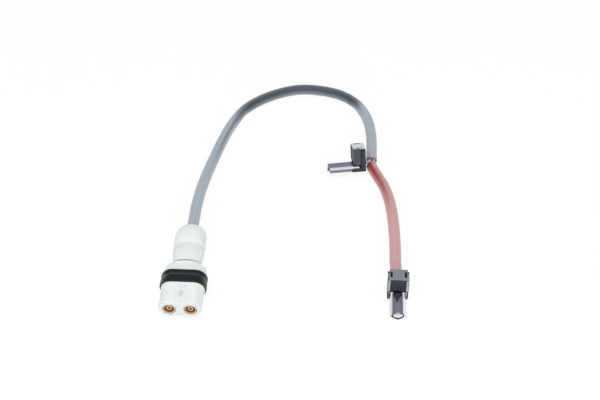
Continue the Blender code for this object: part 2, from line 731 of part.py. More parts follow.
def add_head_loop(head, frame, material):
    """Lay the contact wire down one side of the nose, round its rib and back."""
    reach = LOOP_SPAN / 2
    rear = -BLOCK_LENGTH + ENTRY_DEPTH + LOOP_OD / 2
    leg = (
        (rear, reach, GROMMET_HOLE_HEIGHT - LOOP_OD / 2),
        (rear + 0.25, reach, 0.45 * GROMMET_HOLE_HEIGHT + 0.55 * LOOP_HEIGHT),
        (rear + 0.65, reach, LOOP_HEIGHT + 0.15),
        (rear + 1.2, reach, LOOP_HEIGHT),
        (LOOP_FRONT / 2, reach, LOOP_HEIGHT),
    )
    turn = []
    for step in range(11):
        angle = math.pi * (0.5 - step / 10)
        turn.append((LOOP_FRONT + reach * math.cos(angle), reach * math.sin(angle), LOOP_HEIGHT))
    back = [(x, -y, z) for x, y, z in reversed(leg)]
    add_cable(f"{head}_loop", [*leg, *turn, *back], LOOP_OD, material, frame)


def add_grommet(head, frame, material):
    """Plug the rear of a head where two leads enter in place of a sleeve."""
    start = -BLOCK_LENGTH + BITE
    disc = ((0.0, 0.0), (SLEEVE_OD / 2, 0.0), (SLEEVE_OD / 2, GROMMET_LENGTH), (0.0, GROMMET_LENGTH))
    shape = turned(disc)
    quarter = Matrix.Rotation(-math.pi / 2, 3, "Z")
    bmesh.ops.rotate(shape, verts=shape.verts, cent=(0, 0, 0), matrix=quarter)
    grommet = add_solid(f"{head}_grommet", shifted(shape, x=start, z=ENTRY_HEIGHT), material, frame)
    hole_r = LEAD_OD / 2 + GROMMET_CLEARANCE
    hole = ((0.0, -CLEAR), (hole_r, -CLEAR), (hole_r, GROMMET_LENGTH + CLEAR), (0.0, GROMMET_LENGTH + CLEAR))
    for side in (-1, 1):
        shape = turned(hole, steps=16)
        bmesh.ops.rotate(shape, verts=shape.verts, cent=(0, 0, 0), matrix=quarter)
        shifted(shape, x=start, y=side * GROMMET_HOLES / 2, z=GROMMET_HOLE_HEIGHT)
        cut(grommet, f"hole_{side}", shape)


def head_2_point(x, y, z):
    """Give the place on the table of a point in the second head's own axes."""
    turn = Matrix.Rotation(HEAD_2_TURN, 3, "Z") @ Matrix.Rotation(HEAD_2_ROLL, 3, "X")
    return Vector((*HEAD_2_AT, HEAD_2_LIFT)) + turn @ Vector((x, y, z))


def off_sleeve(route, place):
    """Give two points straight out of a sleeve's end, the one on the sleeve first."""
    end, inner = Vector(route[0]), Vector(route[1])
    out = (end - inner).normalized()
    side = out.cross(Vector((0.0, 0.0, 1.0)))
    across, up = place
    on_face = end + side * across + Vector((0.0, 0.0, up))
    return on_face + out * SEAT, on_face + out * LEAD_STRAIGHT


def add_leads(material):
    holes = []
    inside = -BLOCK_LENGTH + ENTRY_DEPTH - SEAT
    for side in (-1, 1):
        y = side * GROMMET_HOLES / 2
        holes.append([head_2_point(x, y, GROMMET_HOLE_HEIGHT) for x in (inside, -BLOCK_LENGTH - 0.5)])
    (far_inside, far), (near_inside, near) = holes
    grey_end = GREY_ROUTE[::-1]
    first, first_out = off_sleeve(grey_end, LEAD_1_ON_GREY)
    second, second_out = off_sleeve(RED_ROUTE, LEAD_2_ON_RED)
    third, third_out = off_sleeve(grey_end, LEAD_3_ON_GREY)
    fourth, fourth_out = off_sleeve(RED_ROUTE, LEAD_3_ON_RED)
    routes = {
        "lead_plug_to_sensor_2": (first, first_out, *LEAD_1_BEND, far, far_inside),
        "lead_sensor_2_to_sensor_1": (near_inside, near, *LEAD_2_BEND, second_out, second),
        "lead_plug_to_sensor_1": (third, third_out, *LEAD_3_BEND, fourth_out, fourth),
    }
    for name, route in routes.items():
        line = smooth_route(on_table(route), LEAD_SPACING * LEAD_OD)
        add_cable(name, line, LEAD_OD, material)


def add_sleeves(grey, red):
    for name, route, material in (("grey_sleeve", GREY_ROUTE, grey), ("red_sleeve", RED_ROUTE, red)):
        line = smooth_route(on_table(route), SLEEVE_SPACING * SLEEVE_OD)
        add_cable(name, line, SLEEVE_OD, material, sides=4)


def build():
    for item in list(bpy.context.scene.objects):
        bpy.data.objects.remove(item, do_unlink=True)
    white = surface("white_moulding", (0.78, 0.82, 0.79), 0.45)
    seal_rubber = surface("seal_rubber", (0.03, 0.035, 0.045), 0.4)
    wire_seal_rubber = surface("wire_seal_rubber", (0.35, 0.08, 0.05), 0.6)
    brass = surface("contact_brass", (0.72, 0.5, 0.22), 0.3, 1.0)
    copper = surface("loop_copper", (0.75, 0.38, 0.22), 0.35, 1.0)
    insulation = surface("lead_insulation", (0.45, 0.3, 0.32), 0.5)
    plug_wire = surface("plug_wire_insulation", (0.2, 0.2, 0.22), 0.5)
    grey = surface("grey_sleeving", (0.33, 0.38, 0.42), 0.45)
    red = surface("red_sleeving", (0.5, 0.12, 0.11), 0.5)
    black = surface("black_moulding", (0.03, 0.035, 0.045), 0.4)
    steel = surface("clip_steel", (0.6, 0.6, 0.62), 0.15, 1.0)

    plug = add_frame("plug_frame", PLUG_AT, SEAL_R, PLUG_TURN)
    add_plug_housing(plug, white)
    add_rear_cap(plug, white)
    add_plug_seal(plug, seal_rubber)
    add_contacts(plug, brass, wire_seal_rubber, plug_wire)
    add_sleeves(grey, red)
    add_leads(insulation)
    head_1 = add_frame("head_1_frame", HEAD_1_AT, 0.0, HEAD_1_TURN)
    head_2 = add_frame("head_2_frame", HEAD_2_AT, HEAD_2_LIFT, HEAD_2_TURN, HEAD_2_ROLL)
    for head, frame in (("sensor_1", head_1), ("sensor_2", head_2)):
        add_head_body(head, frame, black)
        add_head_clip(head, frame, steel)
        add_head_loop(head, frame, copper)
    add_grommet("sensor_2", head_2, seal_rubber)


build()
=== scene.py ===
"""Looks of the brake pad wear sensor: finishes, sleeves, leads, light and camera.

Lengths are millimetres in the object's own frame, and become metres where a shape is
made or placed. A head's own axes are X towards its tip, Y across and Z up from its foot.
The plug's own axes are X across, Y from its mating face to its cable and Z up.
"""

import math

import bmesh
import bpy
from mathutils import Matrix, Vector


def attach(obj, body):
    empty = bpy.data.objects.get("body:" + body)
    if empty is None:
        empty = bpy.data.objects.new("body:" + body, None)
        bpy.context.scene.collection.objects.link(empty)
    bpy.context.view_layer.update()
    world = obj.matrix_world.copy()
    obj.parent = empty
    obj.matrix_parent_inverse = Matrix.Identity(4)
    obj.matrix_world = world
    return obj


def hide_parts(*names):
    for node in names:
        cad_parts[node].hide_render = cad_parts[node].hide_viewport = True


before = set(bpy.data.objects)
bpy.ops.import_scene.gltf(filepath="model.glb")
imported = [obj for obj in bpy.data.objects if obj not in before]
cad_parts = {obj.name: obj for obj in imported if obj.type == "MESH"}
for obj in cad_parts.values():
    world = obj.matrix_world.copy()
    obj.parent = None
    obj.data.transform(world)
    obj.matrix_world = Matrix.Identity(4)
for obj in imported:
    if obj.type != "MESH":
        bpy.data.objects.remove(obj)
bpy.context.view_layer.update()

MM = 0.001

# From the drawing's zero, under the arch, to the middle of the part
TO_ORIGIN = Vector((6.8, 22.62, 0.0))

# Camera: what it looks at, where it stands, its lens and sensor, and how near it sees, in metres
CAMERA_AIM = TO_ORIGIN
CAMERA_AT = TO_ORIGIN + Vector((0.0, -403.0, 389.2))
CAMERA_LENS = 71.1
CAMERA_SENSOR = 36.0
CAMERA_NEAR = 0.01

# Light: lamps by place, size in metres and power in watts, and the even light of the room
SOFTBOXES = (
    ("overhead_softbox", (0.0, 0.05, 1.0), 0.8, 6.0),
    ("front_softbox", (0.0, -0.7, 0.3), 0.6, 2.2),
    ("left_softbox", (-0.6, -0.1, 0.45), 0.45, 0.8),
    ("right_softbox", (0.6, -0.1, 0.45), 0.45, 0.8),
)
ROOM_LIGHT = 0.28
WHITE = "#FFFFFF"

# Floor: half its width and its drop under the part in metres, its paint, and how much of its
# own light it gives to rays that show the background
FLOOR_HALF = 3.0
FLOOR_DROP = 0.0001
FLOOR_PAINT = "#F9F9F9"
FLOOR_GLOW = 0.9

# The studio that gloss shows: white low down and dim walls, by the sine of the height, then a
# softbox over the camera by its direction and the cosines of its edge and its middle, and a
# white screen far behind the part, by how far back and how high a ray goes
ROOM_BANDS = (
    (0.10, "#FFFFFF"),
    (0.20, "#85878E"),
    (0.50, "#737982"),
    (0.90, "#8B9099"),
)
MIRRORED_SOFTBOX = (0.0, -math.cos(math.radians(58)), math.sin(math.radians(58)))
SOFTBOX_EDGE = (math.cos(math.radians(25)), math.cos(math.radians(19)))
SOFTBOX_TONE = "#FFF2F8"
SCREEN_BACK = (0.8, 0.95)
SCREEN_TOP = (0.32, 0.18)

# Place of each group, with its turn about X, Y and Z
PLUG_PLACE = (TO_ORIGIN + Vector((-51.2, -72.8, 5.5)), (0.0, 0.0, math.radians(-2.75)))
HEAD_1_PLACE = (TO_ORIGIN + Vector((42.4, -61.4, 0.0)), (0.0, 0.0, math.radians(-92.8)))
HEAD_2_PLACE = (
    TO_ORIGIN + Vector((25.4, 19.8, 1.7045)),
    (math.radians(22.0), 0.0, math.radians(187.0)),
)

# Steps in each stretch of a smooth route, before its points are spaced evenly
ROUTE_STEPS = 24

# Sleeves and leads: extruded tubes with their diameter, their rings' spacing and sides, and
# the sleeves' wall. The sleeves end open, and a lead starts this far inside. The last value
# is the source's gap between two pieces
SLEEVE_OD = 5.2
SLEEVE_WALL = 0.45
SLEEVE_SPACING = 1.0
SLEEVE_SIDES = 40
LEAD_OD = 1.2
LEAD_SIDES = 16
LEAD_SPACING = 0.35
LEAD_INSIDE = 7.0
SEAT = 0.3

# Centre line of each sleeve, from one end to the other, before the shift to the origin
GREY_ROUTE = (
    (-49.18, -31.25, 5.5),
    (-48.9, -25.4, 5.5),
    (-48.6, -19.6, 5.45),
    (-48.0, -9.4, 5.1),
    (-46.7, 2.3, 4.3),
    (-44.6, 14.6, 3.2),
    (-41.8, 26.7, 2.65),
    (-38.6, 38.6, 2.6),
    (-34.6, 50.8, 2.6),
    (-28.5, 62.9, 2.6),
    (-20.6, 70.9, 2.6),
    (-10.5, 76.8, 2.6),
    (0.0, 79.8, 2.6),
    (11.0, 78.9, 2.6),
    (21.0, 75.2, 2.6),
    (28.5, 68.4, 2.6),
    (33.0, 59.4, 2.6),
    (35.0, 50.0, 2.6),
    (35.4, 40.1, 2.6),
    (35.1, 32.0, 2.6),
    (34.8, 24.9, 2.6),
)
RED_ROUTE = (
    (34.6, 21.3, 2.6),
    (35.4, 18.4, 2.6),
    (37.4, 13.2, 2.6),
    (40.1, 5.8, 2.6),
    (41.7, -1.6, 2.6),
    (42.6, -9.4, 2.6),
    (43.0, -18.7, 2.6),
    (43.0, -28.9, 2.65),
    (42.75, -36.4, 2.8),
    (42.4, -43.9, 3.2),
    (42.45, -50.0, 3.5),
    (42.6, -54.4, 3.6),
    (42.65, -56.3, 3.6),
)

# Filling in the sleeves' ends at the junction: depth, length and play round it
FILLING_DEPTH = 0.15
FILLING_LENGTH = 1.5
FILLING_PLAY = 0.02

# Buckles in the grey sleeve: middle of each on the table, reach along it and depth
BUCKLES = (((-29.2, 61.6), 3.5, 0.5), ((24.6, 72.3), 2.2, 0.35), ((28.9, 67.6), 2.6, 0.6))

# Painted shade that darkens the grey sleeve: where it rises, from the first buckle, and falls,
# from the last one, for the whole arch and for the run between the buckles, then its share, its
# angle round the tube and its reach to each side, without and with the run
ARCH_RISE = (-62.0, -14.0)
ARCH_FALL = (0.0, 14.0)
RUN_RISE = (-14.0, 6.0)
RUN_FALL = (-2.0, 8.0)
ARCH_SHARE = (0.6, 0.4)
ARCH_ANGLE = math.radians(38)
ARCH_REACH = (0.36, 0.9)

# Painted shade that deepens the red sleeve's red: where it fades, its angle and its reach
RED_FADE = (4.0, 44.0)
RED_ANGLE = math.radians(32)
RED_REACH = 0.6

# Leads: straight run out of a sleeve and out of a head, then each lead's place on a sleeve's
# end, across and up, and the bend on the way
LEAD_STRAIGHT = 0.9
LEAD_OUT = 0.5
LEAD_1_ON_GREY = (1.5, -0.3)
LEAD_1_BEND = ((32.6, 23.2, 2.9),)
LEAD_2_BEND = ((33.7, 22.1, 5.0), (34.1, 22.8, 3.6))
LEAD_2_ON_RED = (-0.9, 0.3)
LEAD_3_ON_GREY = (-1.1, 0.4)
LEAD_3_BEND = ((35.7, 23.2, 3.15),)
LEAD_3_ON_RED = (1.0, 0.4)

# Copies of the CAD nodes: how near two corners are one, in metres, how flat a fold is left
# out, the steps of a rounded edge, and the fold past which a copy and a new piece are sharp
MERGE = 1e-6
FLAT_ANGLE = math.radians(0.4)
EDGE_STEPS = 2
COPY_SHARP = math.radians(30)
NEW_SHARP = math.radians(35)

# Noise of every grain and cloud, and the rings on the brass: five to a millimetre
NOISE_DETAIL = 3.0
RING_SCALE = 1.6

# Masks on the plug, each from the place where it is 0 to the place where it is 1: painted shade
# in the notch between the barrels, and a painted highlight on the shoulder of the seal's rear bead
NOTCH_SIDE = (1.6, 0.2)
NOTCH_FOOT = (0.0, 1.0)
NOTCH_FRONT = (3.0, 6.0)
NOTCH_REAR = (9.6, 8.2)
BEAD_HIGHLIGHT_FRONT = (15.5, 16.0)
BEAD_HIGHLIGHT_REAR = (16.5, 16.0)

# Masks on a head: its dull prongs, and its clip's cheeks, foot strip, lip, saddle and front edges
PRONGS_REAR = (-0.3, -0.1)
CHEEK_SIDE = (4.2, 4.4)
STRIP_FOOT = (3.35, 3.45)
STRIP_TOP = (4.4, 4.3)
STRIP_FRONT = (0.4, 0.2)
LIP_REAR = (11.8, 12.0)
LIP_TOP = (1.2, 0.9)
LIP_CURVE = 0.326
SADDLE_FOOT = (4.2, 5.9)
FRONT_EDGE_REAR = (-0.3, -0.15)
FRONT_EDGE_FOOT = (4.4, 4.5)

# Roughness of the moulding and of the steel, each outside and inside its mask
MOULDING_ROUGHNESS = (0.34, 0.7)
STEEL_ROUGHNESS = (0.14, 0.42)

# Front flanges of a clip: rear and front, inner and outer side, foot and top, and rounding
FLANGE = ((0.03, 0.15), (3.45, 4.22), (4.5, 11.2))
FLANGE_EDGE = 0.05

# Foot rails and prongs of a head: where a face is in the source, and where it is shown
RAIL_INNER = (4.0, 3.76)
RAIL_TOP = (3.2, 1.7)
PRONG_OUTER = (4.3, 4.25)
FACE_NEAR = 0.05

# Rear of head 2, where its leads go in: its place, the entry's depth, and the holes' pitch
# and height
HEAD_REAR = -6.0
ENTRY_DEPTH = 1.2
GROMMET_HOLES = 2.0
GROMMET_HOLE_HEIGHT = 3.0


def linear(colour):
    """Turn an sRGB hex colour into the linear values that a shader takes."""
    channels = [int(colour[i:i + 2], 16) / 255 for i in (1, 3, 5)]
    return (*[c / 12.92 if c <= 0.04045 else ((c + 0.055) / 1.055) ** 2.4 for c in channels], 1.0)


def add_node(tree, kind, inputs=None, **settings):
    """Add a node, with settings on it and values or links on its inputs."""
    node = tree.nodes.new(kind)
    for name, value in settings.items():
        setattr(node, name, value)
    for name, value in (inputs or {}).items():
        if isinstance(value, bpy.types.NodeSocket):
            tree.links.new(value, node.inputs[name])
        else:
            node.inputs[name].default_value = value
    return node


def new_material(name, colour, roughness, ior=1.5, metallic=0.0):
    """Start a material and give back its tree and its Principled shader."""
    material = bpy.data.materials.new(name)
    material.use_nodes = True
    tree = material.node_tree
    shader = tree.nodes["Principled BSDF"]
    shader.inputs["Base Color"].default_value = linear(colour)
    shader.inputs["Roughness"].default_value = roughness
    shader.inputs["Metallic"].default_value = metallic
    if not metallic:
        shader.inputs["IOR"].default_value = ior
    return material, tree, shader


def own_axes(tree, place):
    """Give Object coordinates in millimetres on a group's own axes."""
    at, turn = place
    frame_inputs = {
        "Vector": add_node(tree, "ShaderNodeTexCoord").outputs["Object"],
        "Location": at * MM,
        "Rotation": turn,
        "Scale": (MM, MM, MM),
    }
    moved = add_node(tree, "ShaderNodeMapping", frame_inputs, vector_type="TEXTURE")
    return moved.outputs["Vector"]


def masked(tree, *steps):
    """Give 1 only where each value is past its own soft step.

    A step is the value where it is 0 and the value where it is 1, whichever is higher.
    """
    product = None
    for value, (start, end) in steps:
        limits = {"Value": value, "From Min": start, "From Max": end}
        step = add_node(tree, "ShaderNodeMapRange", limits, interpolation_type="SMOOTHSTEP")
        if product is None:
            product = step.outputs[0]
        else:
            pair = {0: product, 1: step.outputs[0]}
            product = add_node(tree, "ShaderNodeMath", pair, operation="MULTIPLY").outputs[0]
    return product


def layered(tree, colour, *layers):
    """Lay each further colour over the first one where its mask is 1."""
    for mask, tone in layers:
        inputs = {0: mask, 6: colour, 7: linear(tone)}
        colour = add_node(tree, "ShaderNodeMix", inputs, data_type="RGBA").outputs[2]
    return colour


def mottled(tree, vector, size, low, high):
    """Give two shades that mingle in clouds about this many millimetres across."""
    noise = {"Vector": vector, "Scale": 1 / size, "Detail": NOISE_DETAIL}
    clouds = add_node(tree, "ShaderNodeTexNoise", noise)
    return layered(tree, linear(low), (clouds.outputs["Fac"], high))


def grained(tree, shader, vector, size, depth):
    """Give a surface a grain of this size and depth in millimetres.

    Real moulded and drawn grains are finer than a render shows, so they are drawn coarser.
    """
    noise = {"Vector": vector, "Scale": 1 / size, "Detail": NOISE_DETAIL}
    grains = add_node(tree, "ShaderNodeTexNoise", noise)
    height = {"Height": grains.outputs["Fac"], "Distance": depth * MM}
    bump = add_node(tree, "ShaderNodeBump", height)
    tree.links.new(bump.outputs["Normal"], shader.inputs["Normal"])


def moulded_white_pbt(place):
    """White PBT, injection moulded: satin, faintly green, with a fine spark-eroded grain.

    The notch between the barrels is painted a little grey, as painted shade.
    """
    material, tree, shader = new_material("moulded_white_pbt", "#E4EAE5", 0.5, 1.57)
    vector = own_axes(tree, place)
    axes = add_node(tree, "ShaderNodeSeparateXYZ", {"Vector": vector})
    x, y, z = [axes.outputs[name] for name in "XYZ"]
    aside = add_node(tree, "ShaderNodeMath", {0: x}, operation="ABSOLUTE").outputs[0]
    # Painted shade: a grey laid into the notch between the barrels
    notch_shade = masked(
        tree, (aside, NOTCH_SIDE), (z, NOTCH_FOOT), (y, NOTCH_FRONT), (y, NOTCH_REAR)
    )
    clouds = mottled(tree, vector, 6.0, "#E0E7E2", "#E8EDE9")
    tree.links.new(layered(tree, clouds, (notch_shade, "#CBD1CB")), shader.inputs["Base Color"])
    grained(tree, shader, vector, 0.25, 0.01)
    return material


def black_seal_rubber(place):
    """Moulded black rubber: dark slate, semi-matt, with a soft highlight on each bead.

    The shoulder of the rear bead is painted a lighter grey, as a painted highlight.
    """
    material, tree, shader = new_material("black_seal_rubber", "#16181F", 0.3, 1.52)
    vector = own_axes(tree, place)
    along = add_node(tree, "ShaderNodeSeparateXYZ", {"Vector": vector}).outputs["Y"]
    # Painted highlight: a lighter grey band on the shoulder of the rear bead
    bead_highlight = masked(tree, (along, BEAD_HIGHLIGHT_FRONT), (along, BEAD_HIGHLIGHT_REAR))
    clouds = mottled(tree, vector, 1.5, "#12141B", "#1C2024")
    tree.links.new(layered(tree, clouds, (bead_highlight, "#4A4E55")), shader.inputs["Base Color"])
    grained(tree, shader, vector, 0.2, 0.008)
    return material


def turned_brass(place):
    """Turned brass: warm yellow metal with tool rings round its axis, five to a millimetre."""
    material, tree, shader = new_material("turned_brass", "#E2BC94", 0.42, metallic=0.75)
    vector = own_axes(tree, place)
    turning = {"Vector": vector, "Scale": RING_SCALE, "Distortion": 0.4}
    rings = add_node(tree, "ShaderNodeTexWave", turning, bands_direction="Y")
    height = {"Height": rings.outputs["Fac"], "Distance": 0.01 * MM}
    bump = add_node(tree, "ShaderNodeBump", height)
    tree.links.new(bump.outputs["Normal"], shader.inputs["Normal"])
    clouds = mottled(tree, vector, 0.8, "#D8AE82", "#F0CDA6")
    tree.links.new(clouds, shader.inputs["Base Color"])
    return material


def red_wire_seal_rubber(place):
    """Moulded brick-red silicone of the wire seals: matt and soft."""
    material, tree, shader = new_material("red_wire_seal_rubber", "#9A4A3C", 0.6)
    grained(tree, shader, own_axes(tree, place), 0.25, 0.01)
    return material


def extruded_wire_insulation(place):
    """Thin dark PVC round the plug's conductors: satin."""
    material, tree, shader = new_material("extruded_wire_insulation", "#5A5A5E", 0.45)
    grained(tree, shader, own_axes(tree, place), 0.3, 0.006)
    return material


def sleeving_with_painted_shade(tree, shader, shades, stretch, size):
    """Lay painted shade on a sleeve by its painted_shade attribute, and draw faint lines along it,
    on the straight tube it was.
    """
    painted_shade = add_node(tree, "ShaderNodeAttribute", attribute_name="painted_shade")
    # Painted shade: the second shade is laid where the painted_shade attribute is high
    colour = layered(tree, linear(shades[0]), (painted_shade.outputs["Fac"], shades[1]))
    tree.links.new(colour, shader.inputs["Base Color"])
    straight = add_node(tree, "ShaderNodeAttribute", attribute_name="straight")
    along = {"Vector": straight.outputs["Vector"], "Scale": (1.0, 1.0, stretch)}
    lines = add_node(tree, "ShaderNodeMapping", along)
    grained(tree, shader, lines.outputs["Vector"], size, 0.02)


def grey_pvc_sleeving():
    """Extruded grey PVC: satin blue-grey, with painted shade darkening it round the arch."""
    material, tree, shader = new_material("grey_pvc_sleeving", "#A4ACB4", 0.36, 1.53)
    sleeving_with_painted_shade(tree, shader, ("#A8B0B8", "#424A53"), 0.06, 0.7)
    return material


def red_silicone_sleeving():
    """Extruded red silicone: dusty red, with painted shade deepening it along the inner side where
    the sleeve starts.
    """
    material, tree, shader = new_material("red_silicone_sleeving", "#C29494", 0.42, 1.45)
    sleeving_with_painted_shade(tree, shader, ("#CCA0A0", "#903430"), 0.08, 0.8)
    return material


def lead_pvc():
    """Thin extruded PVC on the single leads: pale greyish pink, satin."""
    material, tree, shader = new_material("lead_pvc", "#C9AEB4", 0.4, 1.53)
    straight = add_node(tree, "ShaderNodeAttribute", attribute_name="straight")
    grained(tree, shader, straight.outputs["Vector"], 0.4, 0.01)
    return material


def talc_dusted_filling(name, colour):
    """Soft filling between a sleeve and its leads: matt, with a bloom of talc."""
    material, tree, shader = new_material(name, colour, 0.8)
    metres = add_node(tree, "ShaderNodeTexCoord").outputs["Object"]
    grained(tree, shader, metres, 0.3 * MM, 0.03)
    return material


def moulded_black_nylon(name, place):
    """Glass-filled black nylon, injection moulded: dark slate, satin, and dull on the prongs."""
    material, tree, shader = new_material(name, "#2B2E34", MOULDING_ROUGHNESS[0], 1.53)
    vector = own_axes(tree, place)
    tree.links.new(mottled(tree, vector, 1.2, "#272A30", "#32363C"), shader.inputs["Base Color"])
    ahead = add_node(tree, "ShaderNodeSeparateXYZ", {"Vector": vector}).outputs["X"]
    prongs = masked(tree, (ahead, PRONGS_REAR))
    satin, dull = MOULDING_ROUGHNESS
    levels = {"Value": prongs, "To Min": satin, "To Max": dull}
    level = add_node(tree, "ShaderNodeMapRange", levels).outputs[0]
    tree.links.new(level, shader.inputs["Roughness"])
    grained(tree, shader, vector, 0.22, 0.01)
    return material


def rolled_spring_steel(name, place):
    """Bright rolled spring steel with faint rolling lines along the strip.

    The tongue is polished, the folded saddle is duller and painted lighter as a painted highlight,
    its front edges are a clear grey, its cheeks carry a painted dark reflection, and its foot
    strip and the tongue's lip carry painted shade.
    """
    material, tree, shader = new_material(name, "#E4E2E8", STEEL_ROUGHNESS[0], metallic=1.0)
    vector = own_axes(tree, place)
    axes = add_node(tree, "ShaderNodeSeparateXYZ", {"Vector": vector})
    x, y, z = [axes.outputs[name] for name in "XYZ"]
    aside = add_node(tree, "ShaderNodeMath", {0: y}, operation="ABSOLUTE").outputs[0]
    # Painted reflection: the cheeks are darkened as though mirroring a dark room
    cheek = masked(tree, (aside, CHEEK_SIDE))
    # Painted shade: the foot strip under the block is darkened
    strip = masked(tree, (z, STRIP_FOOT), (z, STRIP_TOP), (x, STRIP_FRONT))
    either = {0: cheek, 1: strip}
    dark_reflection_and_shade = add_node(tree, "ShaderNodeMath", either, operation="MAXIMUM").outputs[0]
    # Painted shade: the tongue's lip is darkened along its curved lower edge
    sag = add_node(tree, "ShaderNodeMath", {0: y, 1: 2.0}, operation="POWER").outputs[0]
    curve = {0: sag, 1: -LIP_CURVE, 2: z}
    over_lip = add_node(tree, "ShaderNodeMath", curve, operation="MULTIPLY_ADD").outputs[0]
    lip = masked(tree, (x, LIP_REAR), (over_lip, LIP_TOP))
    # The saddle is a duller finish, and is also painted lighter as a painted highlight
    saddle = masked(tree, (z, SADDLE_FOOT))
    front = masked(tree, (x, FRONT_EDGE_REAR), (z, FRONT_EDGE_FOOT))
    tone = layered(
        tree,
        linear("#E4E2E8"),
        (saddle, "#FAFAFC"),
        (front, "#C6CAD2"),
        (dark_reflection_and_shade, "#6C707A"),
        (lip, "#3E4148"),
    )
    tree.links.new(tone, shader.inputs["Base Color"])
    polished, dull = STEEL_ROUGHNESS
    levels = {"Value": saddle, "To Min": polished, "To Max": dull}
    level = add_node(tree, "ShaderNodeMapRange", levels).outputs[0]
    tree.links.new(level, shader.inputs["Roughness"])
    lines = add_node(tree, "ShaderNodeMapping", {"Vector": vector, "Scale": (0.08, 1.0, 1.0)})
    grained(tree, shader, lines.outputs["Vector"], 0.25, 0.003)
    return material


def drawn_copper(name, place):
    """Drawn copper wire: warm and bright, with fine grains of the draw."""
    material, tree, shader = new_material(name, "#C27A55", 0.3, metallic=1.0)
    grained(tree, shader, own_axes(tree, place), 0.15, 0.004)
    return material


def smooth_route(points, spacing):
    """Read evenly spaced points from one smooth curve through the chosen ones."""
    guide = [Vector(point) for point in points]
    guide = [2 * guide[0] - guide[1], *guide, 2 * guide[-1] - guide[-2]]
    fine = []
    for a, b, c, d in zip(guide, guide[1:], guide[2:], guide[3:]):
        for step in range(ROUTE_STEPS):
            t = step / ROUTE_STEPS
            bend = (2 * a - 5 * b + 4 * c - d) * t**2 + (3 * b - a - 3 * c + d) * t**3
            fine.append(b + 0.5 * ((c - a) * t + bend))
    fine.append(guide[-2])
    total = sum((b - a).length for a, b in zip(fine, fine[1:]))
    count = max(2, round(total / spacing))
    even = [fine[0]]
    walked = 0.0
    for a, b in zip(fine, fine[1:]):
        step = (b - a).length
        while len(even) < count and walked + step >= total * len(even) / count:
            even.append(a.lerp(b, (total * len(even) / count - walked) / step))
        walked += step
    even.append(fine[-1])
    return even


def route_length(path):
    """Give a path's length."""
    return sum((b - a).length for a, b in zip(path, path[1:]))


def on_table(points):
    """Move points from the drawing's zero to the object's own frame."""
    return [Vector(point) + TO_ORIGIN for point in points]


def station_frames(path):
    """Give a matrix for each point of a path: X to its right, Y up and Z along it."""
    frames = []
    for i, point in enumerate(path):
        along = (path[min(i + 1, len(path) - 1)] - path[max(i - 1, 0)]).normalized()
        right = along.cross(Vector((0, 0, 1))).normalized()
        up = right.cross(along)
        columns = Matrix((right, up, along)).transposed().to_4x4()
        frames.append(Matrix.Translation(point) @ columns)
    return frames


def walked(frames):
    """Give how far along its path each frame stands."""
    distances = [0.0]
    for last, place in zip(frames, frames[1:]):
        distances.append(distances[-1] + (place.translation - last.translation).length)
    return distances


def extruded_tube(path, diameter, sides):
    """Carry a circle along a path, and give the shape, its rings of vertices and its frames."""
    shape = bmesh.new()
    shape.verts.layers.float_vector.new("straight")
    shape.verts.layers.float.new("painted_shade")
    ring = bmesh.ops.create_circle(shape, segments=sides, radius=diameter / 2)["verts"]
    frames = station_frames(path)
    bmesh.ops.transform(shape, matrix=frames[0], verts=ring)
    rings = [ring]
    edges = shape.edges[:]
    for last, place in zip(frames, frames[1:]):
        grown = bmesh.ops.extrude_edge_only(shape, edges=edges)["geom"]
        ring = [item for item in grown if isinstance(item, bmesh.types.BMVert)]
        edges = [item for item in grown if isinstance(item, bmesh.types.BMEdge)]
        bmesh.ops.transform(shape, matrix=place @ last.inverted(), verts=ring)
        rings.append(ring)
    bmesh.ops.reverse_faces(shape, faces=shape.faces)
    return shape, rings, frames


def bell(distance, reach):
    """Give 1 in the middle, and less and less on both sides of it."""
    return math.exp(-((distance / reach) ** 2))


def ramp(value, low, high):
    """Give a soft step from 0 at the low value to 1 at the high one."""
    share = min(1.0, max(0.0, (value - low) / (high - low)))
    return share * share * (3 - 2 * share)


def finish_tube(shape, rings, frames, painted_shade):
    """Store where each vertex lies on the straight tube and how much painted shade it takes there.
    """
    straight = shape.verts.layers.float_vector["straight"]
    shade_layer = shape.verts.layers.float["painted_shade"]
    for ring, place, along in zip(rings, frames, walked(frames)):
        back = place.inverted()
        for vert in ring:
            flat = back @ vert.co
            vert[straight] = (flat.x, flat.y, along)
            # Painted shade: each vertex keeps how much shade is painted on it
            vert[shade_layer] = painted_shade(along, math.atan2(flat.x, flat.y))


def add_piece(name, shape, material, sharp=NEW_SHARP):
    """Make a shape drawn in millimetres a piece in metres that rides on the part."""
    bmesh.ops.scale(shape, vec=(MM, MM, MM), verts=shape.verts)
    mesh = bpy.data.meshes.new(name)
    shape.to_mesh(mesh)
    shape.free()
    mesh.shade_smooth()
    mesh.set_sharp_from_angle(angle=sharp)
    mesh.materials.append(material)
    piece = bpy.data.objects.new(name, mesh)
    bpy.context.scene.collection.objects.link(piece)
    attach(piece, "root")
    return piece


def sleeve_wall(piece):
    """Give an open tube its wall, inwards."""
    wall = piece.modifiers.new("wall", "SOLIDIFY")
    wall.thickness = SLEEVE_WALL * MM
    wall.offset = -1.0
    wall.use_even_offset = True


def distance_along(path, place):
    """Give how far along a path its nearest point to a place on the table is."""
    spot = Vector((*place, 0.0)) + TO_ORIGIN
    best = min(range(len(path)), key=lambda i: (path[i].xy - spot.xy).length)
    return route_length(path[:best + 1])


